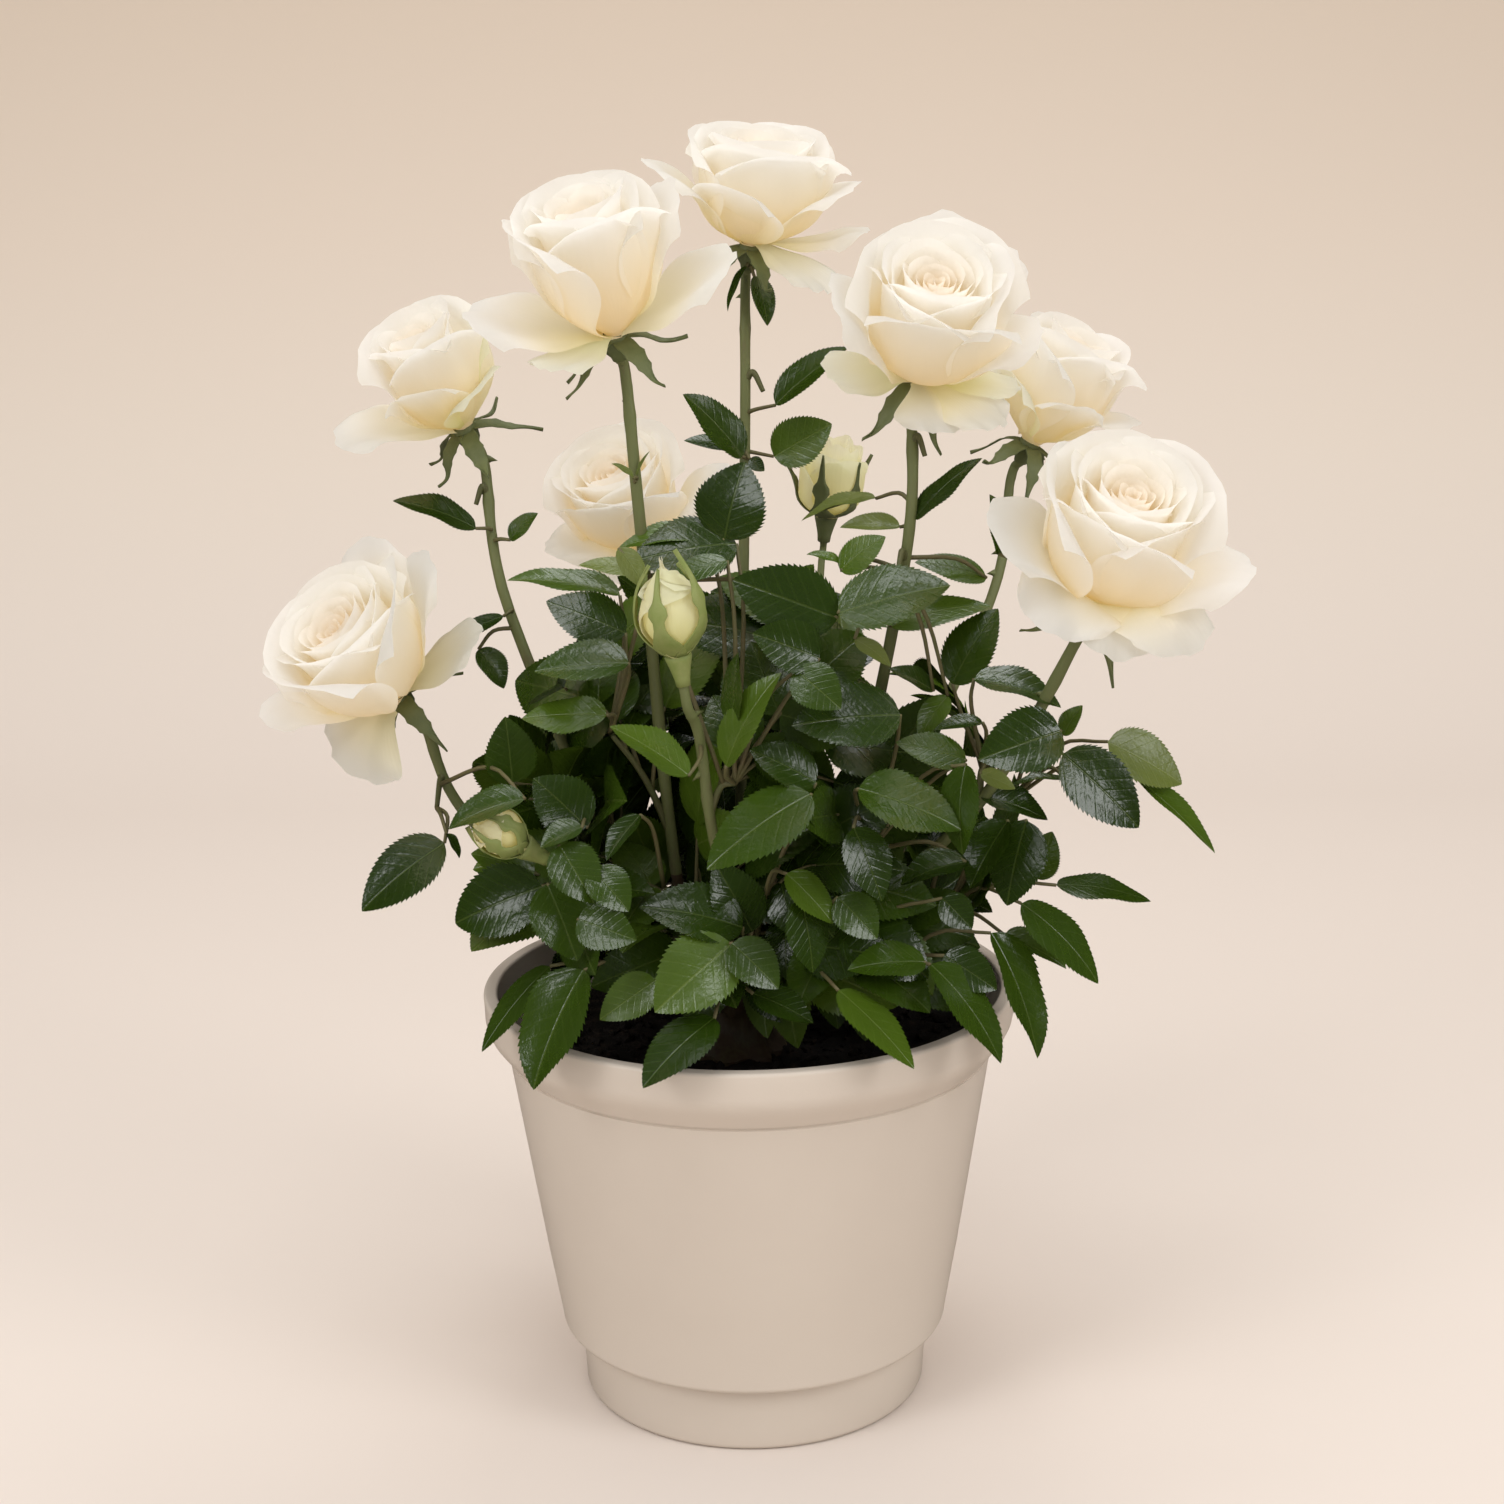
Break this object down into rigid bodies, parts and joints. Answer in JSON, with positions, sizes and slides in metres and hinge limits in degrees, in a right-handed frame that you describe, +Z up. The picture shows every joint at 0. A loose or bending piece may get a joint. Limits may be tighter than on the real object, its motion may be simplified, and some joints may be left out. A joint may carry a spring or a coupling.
{
  "type": "potted rose bush",
  "caption": "Rose bush with large cream-white double blooms on tall canes over dark glossy foliage, growing in a round tapered plastic pot",
  "frame": {"origin": "middle of the flat underside of the pot, on the pot's axis", "axes": "+Z up along the pot's axis, -Y towards the viewer at the front of the bush, +X to the viewer's right"},
  "size_m": [0.4155, 0.3239, 0.5886],
  "materials": {
    "pot": "satin beige",
    "compost": "moist, nearly black",
    "burl": "brown bark",
    "cane": "smooth olive-green bark",
    "petal": "cream-white, warm yellow at the heart",
    "bud": "greenish cream in green sepals",
    "leaf": "glossy dark green"
  },
  "bodies": {
    "root": {"bloom_back": "petal", "bloom_far_left": "petal", "bloom_left": "petal", "bloom_left_high": "petal", "bloom_right_back": "petal", "bloom_right_front": "petal", "bloom_right_high": "petal", "bloom_top": "petal", "bud_back": "bud", "bud_front": "bud", "bud_low": "bud", "burl": "burl", "cane_back": "cane", "cane_bud_back": "cane", "cane_bud_front": "cane", "cane_bud_low": "cane", "cane_far_left": "cane", "cane_left": "cane", "cane_left_high": "cane", "cane_right_back": "cane", "cane_right_front": "cane", "cane_right_high": "cane", "cane_top": "cane", "compost": "compost", "leaves_back": "leaf", "leaves_back_left": "leaf", "leaves_back_low": "leaf", "leaves_back_right": "leaf", "leaves_back_upper": "leaf", "leaves_far_left": "leaf", "leaves_far_right": "leaf", "leaves_front": "leaf", "leaves_front_low": "leaf", "leaves_front_right": "leaf", "leaves_left_cane": "leaf", "leaves_left_elbow": "leaf", "leaves_left_front": "leaf", "leaves_left_gap": "leaf", "leaves_left_low": "leaf", "leaves_left_middle": "leaf", "leaves_left_shoulder": "leaf", "leaves_left_upper": "leaf", "leaves_middle": "leaf", "leaves_middle_upper": "leaf", "leaves_right_cane": "leaf", "leaves_right_centre": "leaf", "leaves_right_hang": "leaf", "leaves_right_low": "leaf", "leaves_right_middle": "leaf", "leaves_right_shoulder": "leaf", "leaves_right_upper": "leaf", "leaves_top_cane": "leaf", "pot": "pot"}
  },
  "joints": []
}
